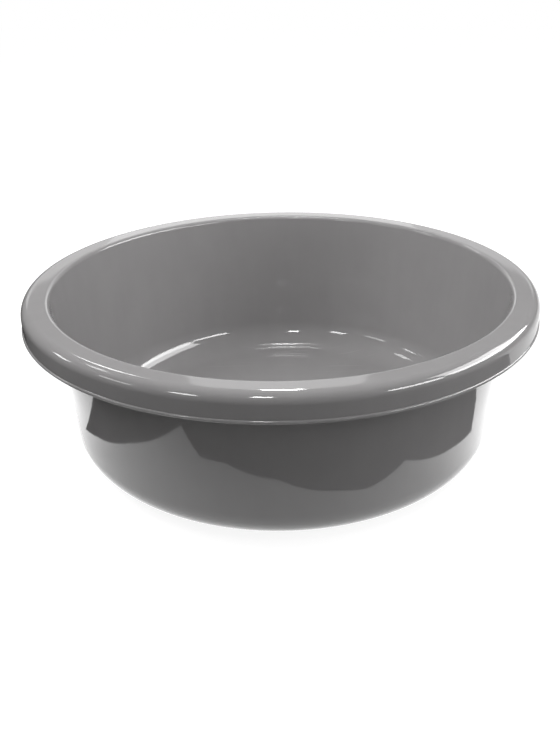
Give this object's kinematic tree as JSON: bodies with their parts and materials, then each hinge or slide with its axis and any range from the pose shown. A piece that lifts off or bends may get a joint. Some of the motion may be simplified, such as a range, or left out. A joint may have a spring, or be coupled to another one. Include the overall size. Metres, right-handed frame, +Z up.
{
  "type": "washing up bowl",
  "caption": "Round washing up bowl with a steep side wall, rounded bottom corner and rolled-over rim with a skirt to grip.",
  "frame": {"origin": "centre of the base, in the plane that the bowl stands on", "axes": "+Z up along the bowl's axis; X and Y are level, and the bowl is the same all round"},
  "size_m": [0.3799, 0.38, 0.127],
  "materials": {
    "bowl": "glossy grey moulded plastic"
  },
  "bodies": {
    "root": {"bowl": "bowl"}
  },
  "joints": []
}
